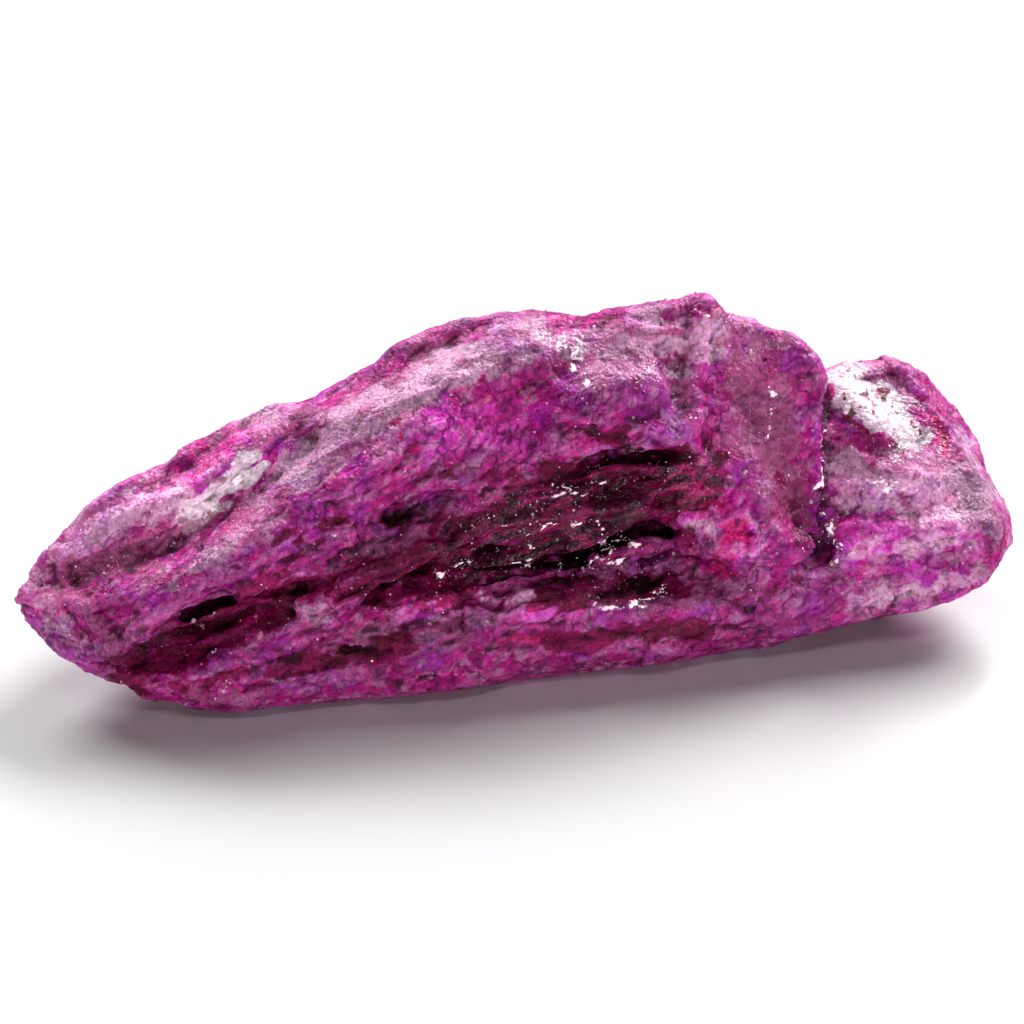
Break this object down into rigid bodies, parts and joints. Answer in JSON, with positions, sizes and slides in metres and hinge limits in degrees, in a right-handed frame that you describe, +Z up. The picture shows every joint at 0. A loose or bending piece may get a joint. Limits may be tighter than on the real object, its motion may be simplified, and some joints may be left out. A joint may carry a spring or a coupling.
{
  "type": "rough sapphire crystal",
  "caption": "Broken, waterworn lump of purple rough sapphire with layered hollows, a flat facet and a tapered end, resting on a worn flat.",
  "frame": {"origin": "bottom centre of the stone's box, on the flat it rests on", "axes": "+X along the stone towards its blunt end, +Y towards its back, +Z up"},
  "size_m": [0.0606, 0.0182, 0.0204],
  "materials": {
    "purple_corundum": "wet gloss"
  },
  "bodies": {
    "root": {"sapphire_crystal": "purple_corundum"}
  },
  "joints": []
}
